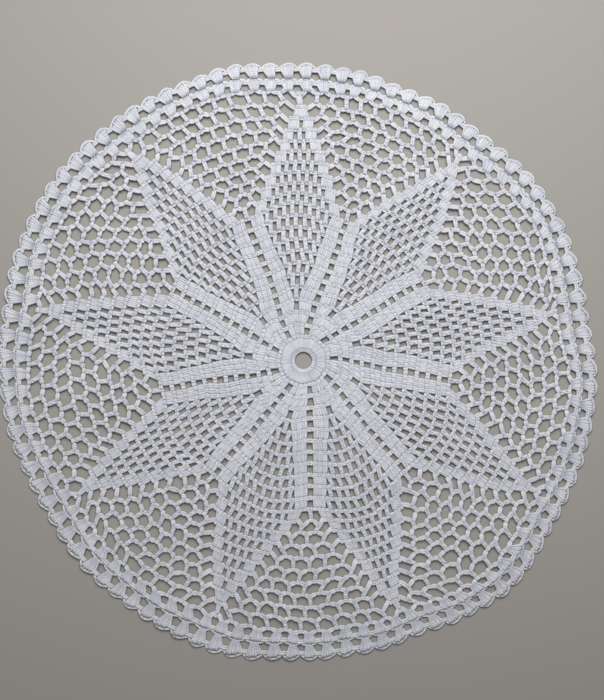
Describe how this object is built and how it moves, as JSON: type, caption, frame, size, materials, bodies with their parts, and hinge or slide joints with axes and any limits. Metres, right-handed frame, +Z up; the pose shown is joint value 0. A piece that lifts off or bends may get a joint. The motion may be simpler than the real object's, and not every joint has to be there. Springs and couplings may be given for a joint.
{
  "type": "lace doily",
  "caption": "Flat round crocheted cotton doily with pointed leaves, an open net between them and a scalloped edge, laid under a vase, bowl or lamp.",
  "frame": {"origin": "centre of the doily's bounding box, on its underside", "axes": "+Z up out of the face, +Y towards the first leaf's point, +X to its right seen from above"},
  "size_m": [0.3004, 0.3002, 0.0018],
  "materials": {
    "cotton_thread": "white crochet cotton, two-ply twist, matt with a faint sheen"
  },
  "bodies": {
    "root": {"doily": "cotton_thread"}
  },
  "joints": []
}
